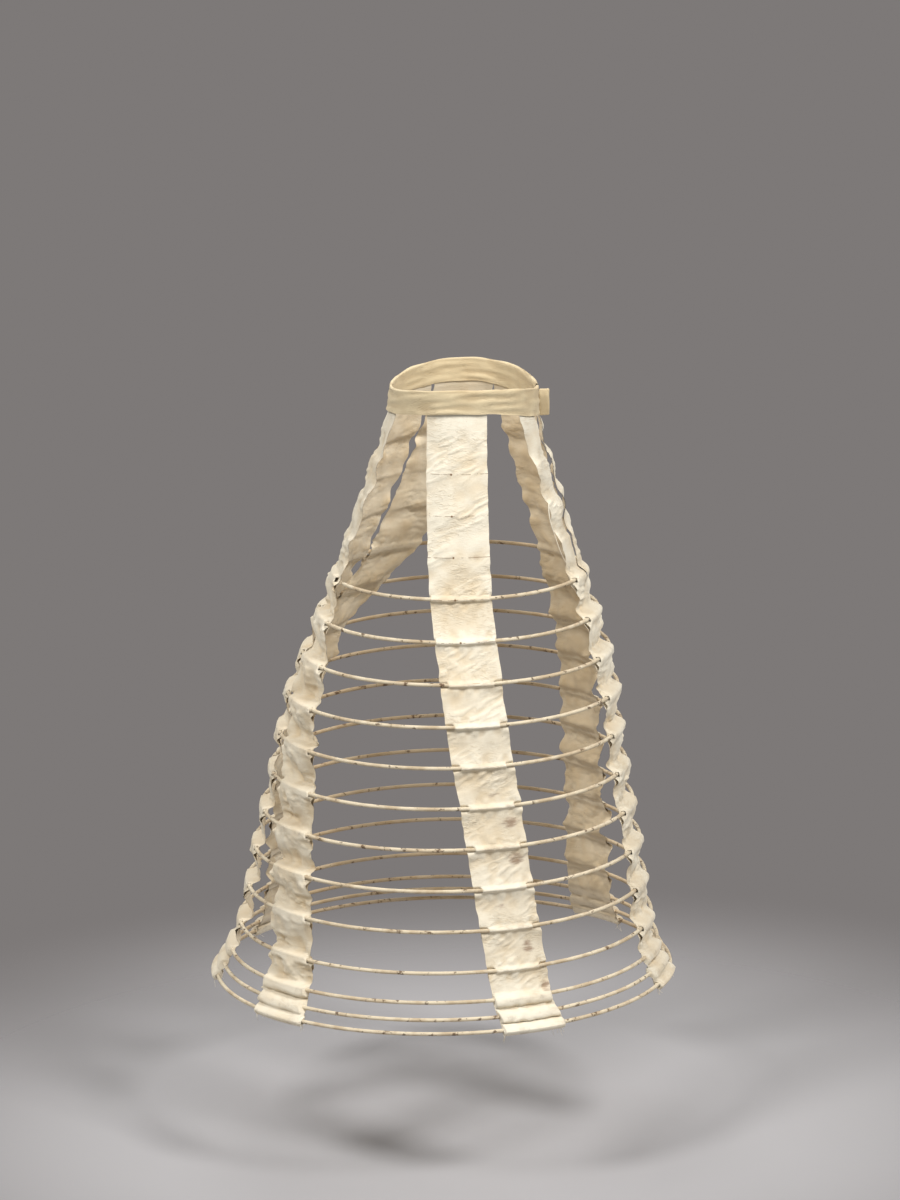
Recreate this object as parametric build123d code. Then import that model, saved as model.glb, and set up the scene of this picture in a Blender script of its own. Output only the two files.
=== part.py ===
# Cage crinoline: a folded waistband, six two-ply tapes and thirteen covered wire hoops.
# Frame: +X is the wearer's front, -Y the wearer's right, +Z up, origin at the middle of the waist.
import os
from math import cos, hypot, pi, radians, sin, sqrt
from typing import NamedTuple

from build123d import *
from build123d.topology import SkipClean

# Waistband
waist_half_depth = 89.0
waist_half_width = 103.0
waist_dip = 12.0
band_height = 34.0
band_ply = 1.2
band_slot = 3.0
band_fold = 4.0
tab_reach = 12.0
tab_thickness = 3.6
tab_drop = 2.0
front_gap = 7.0

# Hook and eye
wire_radius = 0.45
eye_radius = 3.4
eye_overlap = 2.0
hook_bend = 1.25
hook_tip = 1.5
hook_root = 14.0
seat_clearance = 0.15

# Hoops
hoop_wire_radius = 2.4
first_hoop_drop = 229.0
hoop_pitch = 48.6
hem_steps = (34.0, 19.0, 14.5)
hem_radius = 283.0
set_back = 37.5
even_hoops = 10

# Tapes
tape_width = 76.0
tape_fold = 9.5
front_slit_width = 30.0
slit_below_hoop = 16.0
ply = 0.9
channel_clearance = 0.45
channel_half_height = 4.2
hem_tunnel = 5.2
hem_tunnels = 2
pocket_reach = 9.0
hem_roll = 8.0
tape_top = 4.0
cutter_depth = 400.0

# Shares of the hem radius and of the set back, from the first hoop down
radius_shares = (0.545, 0.608, 0.667, 0.720, 0.748, 0.776, 0.811, 0.845, 0.873, 0.905, 0.938, 0.968, 1.0)
set_back_shares = (0.27, 0.33, 0.41, 0.55, 0.65, 0.73, 0.78, 0.82, 0.86, 0.91, 0.97, 1.0, 1.0)
# Shares of a pocket's reach, with how full the pocket is there
pocket_shares = ((1.0, 0.0), (0.45, 1.0), (-0.45, 1.0), (-1.0, 0.0))
pocket_crowd_share = 0.47
# Shares of a span where the cloth between two channels is given its shape
span_shares = (0.35, 0.65, 0.88)
fold_skew = 1.7
bare_channels = 3
break_from_deg = 157.0
break_to_deg = 171.0
middle_of_front_deg = 12.5
# The hoops at which a tape's path is given, counted from nought
station_hoops = (0, 2, 5, 12)

channel_half_depth = hoop_wire_radius + channel_clearance
band_half_thickness = band_slot / 2 + band_ply
band_foot = -band_height / 2


class Level(NamedTuple):
    """One channel across a tape, with a hoop in it or bare."""

    z: float
    centre: float
    radius: float
    pocket: float
    reach: float


class Tape(NamedTuple):
    """One tape: its path at the waist and at the station hoops, in degrees from the front towards
    the wearer's right, and its shares of the deepest fold below and above the first hoop."""

    name: str
    path_deg: tuple
    fold_share: float
    upper_share: float
    waist_spread: float


tapes = (
    Tape("front_tape", (middle_of_front_deg, 12.0, 14.0, 12.0, 14.0), 0.93, 0.36, front_slit_width),
    Tape("right_front_tape", (96.0, 89.5, 84.5, 76.5, 68.0), 0.34, 0.09, 0),
    Tape("right_back_tape", (176.0, 177.5, 161.0, 149.0, 135.0), 1.0, 0.36, 0),
    Tape("centre_back_tape", (224.1, 207.5, 186.0, 177.0, 181.0), 1.0, 0.36, 0),
    Tape("left_back_tape", (270.2, 237.5, 210.5, 204.0, 220.0), 0.7, 0.21, 0),
    Tape("left_front_tape", (314.7, 325.0, 323.5, 322.0, 315.0), 0.57, 0.21, 0),
)


def hoop_drops():
    """Depth of every hoop below the waist."""
    drops = [first_hoop_drop + hoop_pitch * i for i in range(even_hoops)]
    for step in hem_steps:
        drops.append(drops[-1] + step)
    return drops


def hoop_levels():
    """The hoops, each with as much pocket height as its neighbours leave."""
    drops = hoop_drops()
    levels = []
    for i, drop in enumerate(drops):
        nearest = min(abs(other - drop) for other in drops if other != drop)
        reach = min(pocket_reach, pocket_crowd_share * nearest)
        centre = -set_back * set_back_shares[i]
        radius = hem_radius * radius_shares[i]
        pocket = hem_tunnel if i >= len(drops) - hem_tunnels else channel_half_depth
        levels.append(Level(-drop, centre, radius, pocket, reach))
    return levels


def tape_levels():
    """The bare channels above the first hoop, then the hoops."""
    hoops = hoop_levels()
    steps = range(bare_channels, 0, -1)
    bare = [Level(hoops[0].z + hoop_pitch * i, 0, 0, 0, 0) for i in steps]
    return bare + hoops


def waist_radius(angle):
    """Distance from the waist's middle to the middle of the folded band."""
    slant = hypot(waist_half_width * cos(angle), waist_half_depth * sin(angle))
    return waist_half_depth * waist_half_width / slant


def waist_level(angle):
    """How far the waist dips below its sides, at the front and at the back."""
    return -waist_dip * cos(angle) ** 2


def below_band(angle, z, first):
    """Share of the way from the band's lower edge to the first hoop."""
    foot = band_foot + waist_level(angle)
    return max(0, (foot - z) / (foot - first.z))


def between(z, hoops, name):
    """A hoop's size carried evenly from each hoop to the next."""
    for upper, lower in zip(hoops, hoops[1:]):
        if z >= lower.z:
            share = (upper.z - z) / (upper.z - lower.z)
            start, end = getattr(upper, name), getattr(lower, name)
            return start + (end - start) * share
    return getattr(hoops[-1], name)


def cage_ring(angle, z, hoops):
    """Centre and radius of the cage at a height, seen along an angle."""
    first = hoops[0]
    if z <= first.z:
        return between(z, hoops, "centre"), between(z, hoops, "radius")
    share = below_band(angle, z, first)
    radius = waist_radius(angle) * (1 - share) + first.radius * share
    return first.centre * share, radius


def cage_point(angle, z, hoops, offset):
    """A point of the cage's surface, moved outwards by offset."""
    centre, radius = cage_ring(angle, z, hoops)
    reach = radius + offset
    return centre + reach * cos(angle), -reach * sin(angle), z


def tape_angle(tape, z, hoops):
    """Where a tape's middle lies at a height, in radians."""
    start, end = tape.path_deg[:2]
    share = min(1, below_band(radians(start), z, hoops[0]))
    stations = [hoops[i].z for i in station_hoops]
    for i, foot in enumerate(stations[1:], 1):
        if z < stations[i - 1]:
            start, end = tape.path_deg[i : i + 2]
            share = min(1, (stations[i - 1] - z) / (stations[i - 1] - foot))
    return radians(start + (end - start) * share)


def span_rows(upper, lower, fold):
    """Rows of the cloth that hangs between two channels, sagging inwards above the lower one."""
    top = upper.z - upper.reach
    bottom = lower.z + lower.reach
    depth = fold * min(1, (top - bottom) / (hoop_pitch - 2 * pocket_reach))
    rows = []
    for share in span_shares:
        sag = -depth * sin(pi * share**fold_skew)
        rows.append((top + (bottom - top) * share, sag, ply))
    return rows


def band_rows(tape):
    """Rows of a tape's top inside the band, down to where its middle and its edges leave the band."""
    middle = radians(tape.path_deg[0])
    turn = (tape_width + tape.waist_spread) / 2 / waist_radius(middle)
    dips = sorted((waist_level(middle + turn * side) for side in (-1, 0, 1)), reverse=True)
    return [(tape_top + dips[-1], 0, ply)] + [(band_foot + dip, 0, ply) for dip in dips]


def tape_rows(tape):
    """Heights down a tape, each with its inward fold and its half thickness."""
    levels = tape_levels()
    rows = band_rows(tape)
    for upper, lower in zip(levels, [*levels[1:], None]):
        shares = pocket_shares if upper.pocket else ((0, 0),)
        for share, full in shares:
            rows.append((upper.z + upper.reach * share, 0, ply + upper.pocket * full))
        if lower:
            share = tape.fold_share if upper.pocket else tape.upper_share
            rows += span_rows(upper, lower, tape_fold * share)
    rows.append((levels[-1].z - hem_roll, 0, ply))
    return rows


def tape_section(tape, row, hoops):
    """The outline of a tape at one height: two arcs joined at the tape's edges."""
    z, fold, half = row
    middle = tape_angle(tape, z, hoops)
    _, radius = cage_ring(middle, z, hoops)
    spread = tape.waist_spread * max(0, 1 - below_band(middle, z, hoops[0]))
    turn = (tape_width + spread) / 2 / radius
    angles = (middle - turn, middle, middle + turn)
    outer = [cage_point(angle, z, hoops, fold + half) for angle in angles]
    inner = [cage_point(angle, z, hoops, fold - half) for angle in angles]
    edges = [
        Edge.make_three_point_arc(*outer),
        Edge.make_line(outer[2], inner[2]),
        Edge.make_three_point_arc(*reversed(inner)),
        Edge.make_line(inner[0], outer[0]),
    ]
    return Wire(edges)


def channel_ring(hoop):
    """The space that a hoop's channel takes, as a full ring."""
    outline = Ellipse(channel_half_depth, channel_half_height)
    section = Plane.XZ * Pos(hoop.centre + hoop.radius, hoop.z) * outline
    return revolve(section, Axis((hoop.centre, 0, 0), (0, 0, 1)))


def front_slit(first):
    """The wedge between the two upper strips of the front tape."""
    foot = first.z - slit_below_hoop
    head = band_height
    half = front_slit_width / 2 * (head - foot) / (band_foot - foot)
    wedge = Polyline((0, foot), (half, head), (-half, head), close=True)
    angle = radians(middle_of_front_deg)
    outward = (cos(angle), -sin(angle), 0)
    across = (sin(angle), cos(angle), 0)
    plane = Plane((0, 0, 0), x_dir=across, z_dir=outward)
    return extrude(plane * make_face(wedge), cutter_depth)


def make_tape(tape, hoops, rings):
    """One tape with a channel for every hoop."""
    sections = [tape_section(tape, row, hoops) for row in tape_rows(tape)]
    cutters = list(rings)
    if tape.waist_spread:
        cutters.append(front_slit(hoops[0]))
    with SkipClean():
        return Solid.make_loft(sections, ruled=True) - cutters


def make_hoop(index, hoop):
    """A closed hoop, or the broken one at the top."""
    if index:
        return Pos(hoop.centre, 0, hoop.z) * Torus(hoop.radius, hoop_wire_radius)
    turn = 360 - (break_to_deg - break_from_deg)
    arc = Torus(hoop.radius, hoop_wire_radius, major_angle=turn)
    return Pos(hoop.centre, 0, hoop.z) * Rot(Z=-break_from_deg) * arc


def waist_block(grow):
    """An upright elliptical block round the waist, tall enough for the dipping band."""
    outline = Ellipse(waist_half_depth + grow, waist_half_width + grow)
    return extrude(outline, band_height + waist_dip, both=True)


def waist_slab(low, high):
    """The layer between two heights at the sides of the waist, dipping to the front and back."""
    end = 2 * waist_half_depth
    fall = waist_dip * (end / waist_half_depth) ** 2
    upper = ThreePointArc((-end, high - fall), (0, high), (end, high - fall))
    lower = ThreePointArc((end, low - fall), (0, low), (-end, low - fall))
    sides = [Line(upper @ 1, lower @ 0), Line(lower @ 1, upper @ 0)]
    outline = make_face([upper, lower, *sides])
    return extrude(Plane.XZ * outline, 2 * waist_half_width, both=True)


def make_waistband():
    """A strip folded over the tapes' tops, open at the front, with a turned-out end."""
    head = band_foot + band_height
    band = waist_block(band_half_thickness) - waist_block(-band_half_thickness)
    slot = waist_block(band_slot / 2) - waist_block(-band_slot / 2)
    band = band & waist_slab(band_foot, head)
    slot = slot & waist_slab(2 * band_foot, head - band_fold)
    front = waist_half_depth + band_half_thickness
    gap = Pos(front, front_gap / 2, 0) * Box(waist_half_depth, front_gap, 4 * band_height)
    tab_length = tab_reach + band_ply
    tab_middle = front + tab_reach - tab_length / 2
    tab = Box(tab_length, tab_thickness, band_height)
    return band - slot - gap + Pos(tab_middle, front_gap + tab_thickness / 2, waist_level(0) - tab_drop) * tab


def band_seat(y):
    """Where a wire lies against the inside of the band."""
    depth = waist_half_depth - band_half_thickness
    width = waist_half_width - band_half_thickness
    return depth * sqrt(1 - (y / width) ** 2) - wire_radius - seat_clearance


def make_fasteners():
    """The wire eye inside the left end of the band, and the hook that holds it."""
    eye_y = front_gap + eye_overlap
    x = band_seat(eye_y + eye_radius)
    z = waist_level(0)
    rim = eye_y - eye_radius
    eye = Pos(x, eye_y, z) * Rot(Y=90) * Torus(eye_radius, wire_radius)
    root = (band_seat(hook_root), -hook_root, z)
    shank = Line(root, (x - hook_bend, rim, z))
    bend = ThreePointArc(shank @ 1, (x, rim + hook_bend, z), (x + hook_bend, rim, z))
    tip = Line(bend @ 1, (x + hook_bend, rim - hook_tip, z))
    path = shank + bend + tip
    section = Plane(shank @ 0, z_dir=shank % 0) * Circle(wire_radius)
    return sweep(section, path, transition=Transition.ROUND), eye


def main():
    """Build every piece and write one file for each."""
    os.makedirs("parts", exist_ok=True)
    hoops = hoop_levels()
    rings = [channel_ring(hoop) for hoop in hoops]
    hook, eye = make_fasteners()
    pieces = {"waistband": make_waistband(), "waist_hook": hook, "waist_eye": eye}
    for tape in tapes:
        pieces[tape.name] = make_tape(tape, hoops, rings)
    for index, hoop in enumerate(hoops):
        pieces[f"hoop_{index + 1:02d}"] = make_hoop(index, hoop)
    for name, piece in pieces.items():
        export_step(piece, os.path.join("parts", name + ".step"))


main()
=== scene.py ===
"""Looks of a cage crinoline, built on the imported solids.

Creased two-ply tapes, hoops wound with thread and a folded waistband.
"""

import logging
import math
from dataclasses import dataclass, field
from enum import Enum

import bpy
import numpy as np
from mathutils import Matrix, Vector


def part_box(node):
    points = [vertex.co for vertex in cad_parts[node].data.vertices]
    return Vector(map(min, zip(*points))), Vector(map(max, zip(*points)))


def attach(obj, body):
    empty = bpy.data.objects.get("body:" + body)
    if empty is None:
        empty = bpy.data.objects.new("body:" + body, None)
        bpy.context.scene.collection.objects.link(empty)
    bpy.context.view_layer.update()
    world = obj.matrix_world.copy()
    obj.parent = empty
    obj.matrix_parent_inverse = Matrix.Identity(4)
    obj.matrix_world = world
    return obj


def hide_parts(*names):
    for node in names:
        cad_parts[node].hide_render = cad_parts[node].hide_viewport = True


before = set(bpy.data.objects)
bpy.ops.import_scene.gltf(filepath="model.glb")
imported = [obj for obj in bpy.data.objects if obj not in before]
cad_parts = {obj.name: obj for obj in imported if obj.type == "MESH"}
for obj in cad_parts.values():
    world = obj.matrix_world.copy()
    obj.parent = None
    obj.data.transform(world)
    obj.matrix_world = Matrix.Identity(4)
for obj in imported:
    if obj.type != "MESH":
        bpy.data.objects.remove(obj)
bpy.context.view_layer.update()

log = logging.getLogger("crinoline")
Array = np.ndarray
Pair = tuple[float, float]
Triple = tuple[float, float, float]
Colour = tuple[float, float, float]
Socket = bpy.types.NodeSocket
Material = bpy.types.Material
Piece = bpy.types.Object

BODY = "root"
HOOP_COUNT = 13
BARE_CHANNELS = 3
BREAK_DEG = (157.0, 171.0)
FULL_TURN = 2.0 * math.pi


class Ply(Enum):
    """The two layers of a tape."""

    OUTER = "outer"
    INNER = "inner"


class Hang(Enum):
    """How a tape carries its length between the hoops."""

    GATHERED = "gathered"
    STRETCHED = "stretched"


class Fold(Enum):
    """The line of the cloth from one channel to the next, as places and heights."""

    SOFT = (
        (0.0, 0.14, 0.34, 0.58, 0.79, 0.92, 1.0),
        (0.0, 0.1, -0.14, -0.64, -1.0, -0.66, 0.0),
    )
    SLACK = (
        (0.0, 0.12, 0.28, 0.46, 0.66, 0.85, 1.0),
        (0.0, -0.42, -0.86, -1.0, -0.78, -0.34, 0.0),
    )
    SHINGLED = (
        (0.0, 0.08, 0.26, 0.52, 0.8, 0.92, 1.0),
        (0.04, 0.2, 0.05, -0.45, -1.0, -0.86, 0.04),
    )


def smooth(low: float | Array, high: float | Array, value: Array) -> Array:
    """Ease from 0 at low to 1 at high.

    Args:
        low: where the ease starts.
        high: where it ends.
        value: the places to ease.

    Returns:
        The eased shares.
    """
    share = np.clip((value - low) / (high - low), 0.0, 1.0)
    return share * share * (3.0 - 2.0 * share)


def curve(places: tuple[float, ...], heights: tuple[float, ...], share: Array) -> Array:
    """Read a smooth line through a few heights.

    Args:
        places: where the heights are given, rising from 0 to 1.
        heights: the heights there.
        share: where to read the line.

    Returns:
        The heights at those shares.
    """
    x, y = np.array(places), np.array(heights)
    slope = np.gradient(y, x)
    i = np.clip(np.searchsorted(x, share, side="right") - 1, 0, len(x) - 2)
    step = x[i + 1] - x[i]
    t = np.clip((share - x[i]) / step, 0.0, 1.0)
    rise = 3 * t**2 - 2 * t**3
    lead, trail = t**3 - 2 * t**2 + t, t**3 - t**2
    return y[i] * (1 - rise) + y[i + 1] * rise + step * (slope[i] * lead + slope[i + 1] * trail)


@dataclass(frozen=True)
class Crumple:
    """A seeded field of creases, each a bent wave."""

    seed: int
    shortest: float
    longest: float
    tilt: float
    count: int
    bend: Pair = (0.3, 1.1)
    bend_wave: Pair = (40.0, 130.0)
    bend_phase: float = 6.3

    def heights(self, across: Array, along: Array) -> Array:
        """Height of the creases, about one unit either way.

        Args:
            across: places across the cloth, in metres.
            along: places along the cloth, in metres.

        Returns:
            The heights at those places.
        """
        dice = np.random.default_rng(self.seed)
        total = np.zeros(np.broadcast(across, along).shape)
        for _ in range(self.count):
            wave = FULL_TURN / dice.uniform(self.shortest, self.longest)
            turn = dice.normal(0.0, self.tilt)
            phase = dice.uniform(0.0, FULL_TURN)
            size, pitch = dice.uniform(*self.bend), dice.uniform(*self.bend_wave)
            bend = size * np.sin(across * pitch + dice.uniform(0.0, self.bend_phase))
            way = along * math.cos(turn) + across * math.sin(turn)
            total = total + np.sin(wave * way + phase + bend)
        return total / math.sqrt(self.count / 2.0)


class Wrinkle(Enum):
    """Kinds of creases: step of the seed, shortest and longest wave, tilt and count."""

    FINE = (1, 0.006, 0.016, 0.3, 18)
    DIMPLE = (2, 0.02, 0.05, 0.8, 18)
    PATCH = (3, 0.04, 0.1, 0.9, 8)
    CURL = (4, 0.022, 0.06, 0.1, 18)
    GATHER = (5, 0.011, 0.024, 0.4, 18)
    DRIFT = (6, 0.03, 0.09, 0.0, 10)
    EDGE = (7, 0.012, 0.04, 0.0, 12)
    BAND_FINE = (0, 0.009, 0.022, 0.1, 18)
    BAND_BROAD = (1, 0.02, 0.06, 1.2, 18)
    BAND_EDGE = (2, 0.03, 0.08, 0.0, 10)
    BAND_FRAY = (3, 0.004, 0.012, 0.2, 18)

    def heights(self, seed: int, across: Array, along: Array) -> Array:
        """Height of these creases on a piece of that seed, about one unit either way."""
        step, *shape = self.value
        return Crumple(seed + step, *shape).heights(across, along)


@dataclass(frozen=True)
class Cage:
    """The hoops' places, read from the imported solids, and the surface that the tapes follow."""

    heights: Array
    centres: Array
    radii: Array
    wire: float
    half_depth: float = 0.089
    half_width: float = 0.103
    dip: float = 0.012
    flare: float = 0.004
    band_height: float = 0.034

    @classmethod
    def from_solids(cls) -> "Cage":
        """Read every hoop's height, centre and radius from its solid's box.

        Returns:
            The cage.
        """
        boxes = [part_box(f"hoop_{i + 1:02d}") for i in range(HOOP_COUNT)]
        wire = (boxes[-1][1].z - boxes[-1][0].z) / 2
        heights = np.array([(low.z + high.z) / 2 for low, high in boxes])
        centres = np.array([(low.x + high.x) / 2 for low, high in boxes])
        radii = np.array([(high.x - low.x) / 2 - wire for low, high in boxes])
        return cls(heights, centres, radii, wire)

    @property
    def band_foot(self) -> float:
        """Height of the band's lower edge at the sides."""
        return -self.band_height / 2

    def waist_radius(self, angle: Array) -> Array:
        """Distance from the waist's middle to the middle of the folded band."""
        slant = np.hypot(self.half_width * np.cos(angle), self.half_depth * np.sin(angle))
        return self.half_depth * self.half_width / slant

    def foot(self, angle: Array) -> Array:
        """Height of the band's lower edge, which dips at the front and at the back."""
        return self.band_foot - self.dip * np.cos(angle) ** 2

    def ring(self, angle: Array, z: Array) -> tuple[Array, Array]:
        """Centre and radius of the cage at a height, seen along an angle.

        Args:
            angle: radians from the front towards the wearer's right.
            z: heights in metres.

        Returns:
            The centre's x and the radius.
        """
        foot = self.foot(angle)
        share = np.clip((foot - z) / (foot - self.heights[0]), 0.0, 1.0)
        lower_centre = np.interp(-z, -self.heights, self.centres)
        lower_radius = np.interp(-z, -self.heights, self.radii)
        down = np.clip((foot + self.band_height - z) / self.band_height, 0.0, 1.0)
        backward = np.clip(-np.cos(angle), 0.0, 1.0) ** 2
        flared = self.waist_radius(angle) + self.flare * down * backward
        upper_radius = flared * (1 - share) + self.radii[0] * share
        above = z > self.heights[0]
        centre = np.where(above, self.centres[0] * share, lower_centre)
        return centre, np.where(above, upper_radius, lower_radius)

    def place(self, angle: Array, z: Array, offset: Array) -> Array:
        """Points of the cage's surface.

        Args:
            angle: radians from the front towards the wearer's right.
            z: heights in metres.
            offset: how far the points stand out of the surface.

        Returns:
            The points, with x, y and z along the last axis.
        """
        centre, radius = self.ring(angle, z)
        reach = radius + offset
        x = centre + reach * np.cos(angle)
        y = -reach * np.sin(angle)
        return np.stack(np.broadcast_arrays(x, y, z), axis=-1)


@dataclass(frozen=True)
class Patch:
    """Cloudy patches: noise, the range it is eased over, and how strongly they show.

    A scale of three numbers stretches the noise on the piece's flat coordinates.
    """

    scale: float | Triple
    detail: float
    low: float
    high: float
    share: float = 1.0


class Graph:
    """A material's node graph, built from short calls."""

    MIX_FIRST, MIX_SECOND, MIX_RESULT = 6, 7, 2
    NOISE_ROUGHNESS = 0.6

    def __init__(self, name: str) -> None:
        """Start an empty material.

        Args:
            name: the material's name.
        """
        self.material = bpy.data.materials.new(name)
        self.material.use_nodes = True
        self.nodes = self.material.node_tree.nodes
        self.links = self.material.node_tree.links
        self.nodes.clear()
        self.coords = self.nodes.new("ShaderNodeTexCoord")
        self.shader = self.nodes.new("ShaderNodeBsdfPrincipled")
        output = self.nodes.new("ShaderNodeOutputMaterial")
        self.links.new(self.shader.outputs[0], output.inputs[0])

    def feed(self, socket: Socket, value: object) -> None:
        """Link a socket to another, or set its own value.

        Args:
            socket: the socket to feed.
            value: a socket, a number or a colour.
        """
        if isinstance(value, Socket):
            self.links.new(value, socket)
        elif isinstance(value, tuple) and len(value) == 3 and socket.type == "RGBA":
            socket.default_value = (*value, 1.0)
        else:
            socket.default_value = value

    def node(self, kind: str, inputs: dict[str | int, object], **settings: str) -> bpy.types.Node:
        """Make a node.

        Args:
            kind: its type, without the first word.
            inputs: what its sockets are fed with.
            settings: its own settings.

        Returns:
            The node.
        """
        node = self.nodes.new(f"ShaderNode{kind}")
        for name, value in settings.items():
            setattr(node, name, value)
        for name, value in inputs.items():
            self.feed(node.inputs[name], value)
        return node

    def maths(self, operation: str, first: object, second: object = 0.0) -> Socket:
        """One sum on two values."""
        return self.node("Math", {0: first, 1: second}, operation=operation).outputs[0]

    def times(self, first: object, second: object) -> Socket:
        """The product of two values."""
        return self.maths("MULTIPLY", first, second)

    def rest(self, value: object) -> Socket:
        """What a value lacks to one."""
        return self.maths("SUBTRACT", 1.0, value)

    def off(self, value: object, middle: float) -> Socket:
        """How far a value is from a middle, either way."""
        return self.maths("ABSOLUTE", self.maths("SUBTRACT", value, middle))

    def below(self, value: object, limit: float) -> Socket:
        """One where a value is below a limit, nothing elsewhere."""
        return self.maths("LESS_THAN", value, limit)

    def ease(self, value: object, low: float, high: float) -> Socket:
        """A smooth step from 0 at low to 1 at high."""
        inputs = {"Value": value, "From Min": low, "From Max": high}
        return self.node("MapRange", inputs, interpolation_type="SMOOTHSTEP").outputs[0]

    def mix(self, factor: object, first: object, second: object) -> Socket:
        """A blend of two colours, the second one by a factor."""
        inputs = {0: factor, self.MIX_FIRST: first, self.MIX_SECOND: second}
        return self.node("Mix", inputs, data_type="RGBA").outputs[self.MIX_RESULT]

    def noise(self, scale: float, detail: float, vector: Socket) -> Socket:
        """Cloudy noise, around one half."""
        inputs = {"Vector": vector, "Scale": scale, "Detail": detail}
        return self.node("TexNoise", inputs | {"Roughness": self.NOISE_ROUGHNESS}).outputs[0]

    def attribute(self, name: str) -> Socket:
        """A value stored on the mesh."""
        return self.node("Attribute", {}, attribute_name=name).outputs["Fac"]

    def parts(self, kind: str) -> list[Socket]:
        """The first two parts of the piece's coordinates of that kind."""
        return self.node("SeparateXYZ", {0: self.coords.outputs[kind]}).outputs[:2]

    def stretched(self, scale: Triple, turn: float = 0.0) -> Socket:
        """The piece's flat coordinates, turned, then scaled unevenly."""
        inputs = {"Vector": self.coords.outputs["UV"], "Rotation": (0.0, 0.0, turn)}
        turned = self.node("Mapping", inputs).outputs[0]
        return self.node("Mapping", {"Vector": turned, "Scale": scale}).outputs[0]

    def cloud(self, patch: Patch, turn: float = 0.0) -> Socket:
        """The noise of a patch, before it is eased."""
        if isinstance(patch.scale, tuple):
            return self.noise(1.0, patch.detail, self.stretched(patch.scale, turn))
        return self.noise(patch.scale, patch.detail, self.coords.outputs["Object"])

    def mask(self, patch: Patch) -> Socket:
        """Where the patches lie, from 0 to 1."""
        return self.ease(self.cloud(patch), patch.low, patch.high)

    def cover(self, colour: object, mask: object, share: float, other: Colour) -> Socket:
        """Lay another colour over one where a mask says, at a share."""
        return self.mix(self.times(mask, share), colour, other)

    def patched(self, colour: object, patch: Patch, other: Colour) -> Socket:
        """Lay another colour over one in patches."""
        return self.cover(colour, self.mask(patch), patch.share, other)

    def bump(self, height: Socket, strength: float, distance: float) -> None:
        """Give the shader a bump, whose heights are in units of the distance."""
        inputs = {"Height": height, "Strength": strength, "Distance": distance}
        self.feed(self.shader.inputs["Normal"], self.node("Bump", inputs).outputs[0])

    def surface(self, colour: object, **values: float) -> None:
        """Give the shader its colour and its plain values, with _ for each space in a name."""
        self.feed(self.shader.inputs["Base Color"], colour)
        for name, value in values.items():
            self.shader.inputs[name.replace("_", " ")].default_value = value


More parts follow.
